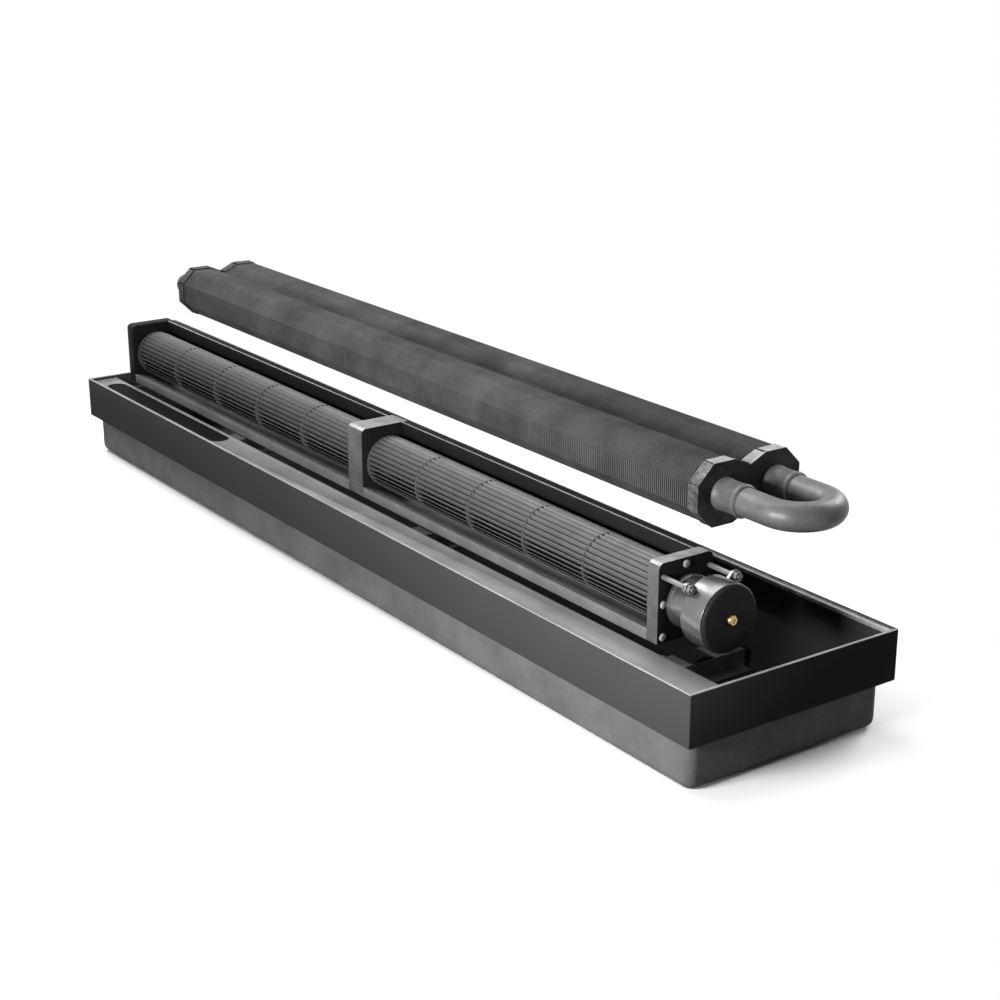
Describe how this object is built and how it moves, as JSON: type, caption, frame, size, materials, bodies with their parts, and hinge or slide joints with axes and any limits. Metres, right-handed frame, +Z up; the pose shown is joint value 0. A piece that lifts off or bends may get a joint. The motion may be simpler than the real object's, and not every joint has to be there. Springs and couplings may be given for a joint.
{
  "type": "trench convector",
  "caption": "Floor trough with a dark rim, a metal deck, a cross-flow fan module with its motor and a two-pipe finned heat exchanger with a return bend, both lifted out above it",
  "frame": {"origin": "centre of the trough's bottom, on the floor of the trench", "axes": "+X along the trough from the pipe connections to the motor and return bend, +Y across it from the deck to the rear strip, +Z up"},
  "size_m": [1, 0.2, 0.1983],
  "materials": {
    "pan_grey": "mottled grey galvanised sheet",
    "rim_black": "satin black coated aluminium",
    "strip_dark": "fine textured dark coat",
    "deck_steel": "brushed along the length",
    "zinc_steel": "zinc coated",
    "frame_zinc": "zinc coated",
    "frame_black": "satin black",
    "impeller_alu": "matt rolled",
    "motor_metal": "smooth cast",
    "motor_dark": "satin",
    "bronze": "turned",
    "shaft_steel": "ground",
    "fin_graphite": "satin graphite coat",
    "plate_graphite": "satin graphite coat",
    "pipe_metal": "nickel plated tube",
    "black_plastic": "matt",
    "grey_plastic": "matt",
    "black_rubber": "matt"
  },
  "bodies": {
    "trough": {"trough_floor": "pan_grey", "trough_front_wall": "pan_grey", "trough_rear_wall": "pan_grey", "trough_left_end": "pan_grey", "trough_right_end": "pan_grey", "rim_front_rail": "rim_black", "rim_rear_rail": "rim_black", "rim_left_rail": "rim_black", "rim_right_rail": "rim_black", "rim_corner_keys": "zinc_steel", "rear_cover_strip": "strip_dark", "front_deck": "deck_steel", "duct_partition": "deck_steel", "terminal_tray": "black_plastic", "terminal_block": "grey_plastic", "pipe_grommets": "black_rubber", "cable_gland": "grey_plastic", "cable_gland_nut": "grey_plastic", "saddle_left": "zinc_steel", "saddle_middle": "zinc_steel", "saddle_right": "zinc_steel", "saddle_locators": "black_rubber", "fan_pads": "black_rubber"},
    "terminal_cover": {"terminal_lid": "black_plastic"},
    "fan_module": {"fan_left_plate": "frame_black", "fan_middle_frame": "frame_zinc", "fan_right_plate": "frame_black", "bearing_rubbers": "black_rubber", "left_bearing_bush": "bronze", "middle_bearing_bush": "bronze", "fan_left_scroll": "zinc_steel", "fan_right_scroll": "zinc_steel", "fan_left_tongue": "frame_black", "fan_right_tongue": "frame_black", "fan_plate_screws": "zinc_steel", "motor_neck": "motor_metal", "motor_housing": "motor_metal", "motor_cap": "motor_dark", "motor_boss": "bronze", "motor_stator": "zinc_steel", "motor_rods": "zinc_steel", "motor_rod_nuts": "zinc_steel"},
    "fan_rotor": {"impeller_left": "impeller_alu", "impeller_right": "impeller_alu", "left_axle": "shaft_steel", "middle_shaft": "shaft_steel", "drive_shaft": "shaft_steel", "motor_rotor": "shaft_steel"},
    "exchanger": {"fin_stack": "fin_graphite", "pipe_run": "pipe_metal", "pipe_sockets": "pipe_metal", "exchanger_left_plate": "plate_graphite", "exchanger_right_plate": "plate_graphite", "front_nipple": "pipe_metal", "rear_nipple": "pipe_metal", "vent_body": "pipe_metal"},
    "vent_screw": {"vent_screw": "pipe_metal"}
  },
  "joints": [
    {"name": "fan_lift", "type": "slide", "parent": "trough", "child": "fan_module", "axis": [0, 0, 1], "range_m": [-0.076, 0]},
    {"name": "exchanger_lift", "type": "slide", "parent": "trough", "child": "exchanger", "axis": [0, 0, 1], "range_m": [-0.132, 0]},
    {"name": "rotor_spin", "type": "hinge", "parent": "fan_module", "child": "fan_rotor", "pos_m": [0, -0.0385, 0.11], "axis": [1, 0, 0], "continuous": true},
    {"name": "vent_turn", "type": "hinge", "parent": "exchanger", "child": "vent_screw", "pos_m": [-0.4565, 0.065, 0.1896], "axis": [0, 0, 1], "range_deg": [0, 180]},
    {"name": "lid_lift", "type": "slide", "parent": "trough", "child": "terminal_cover", "axis": [0, 0, 1], "range_m": [0, 0.03]}
  ]
}
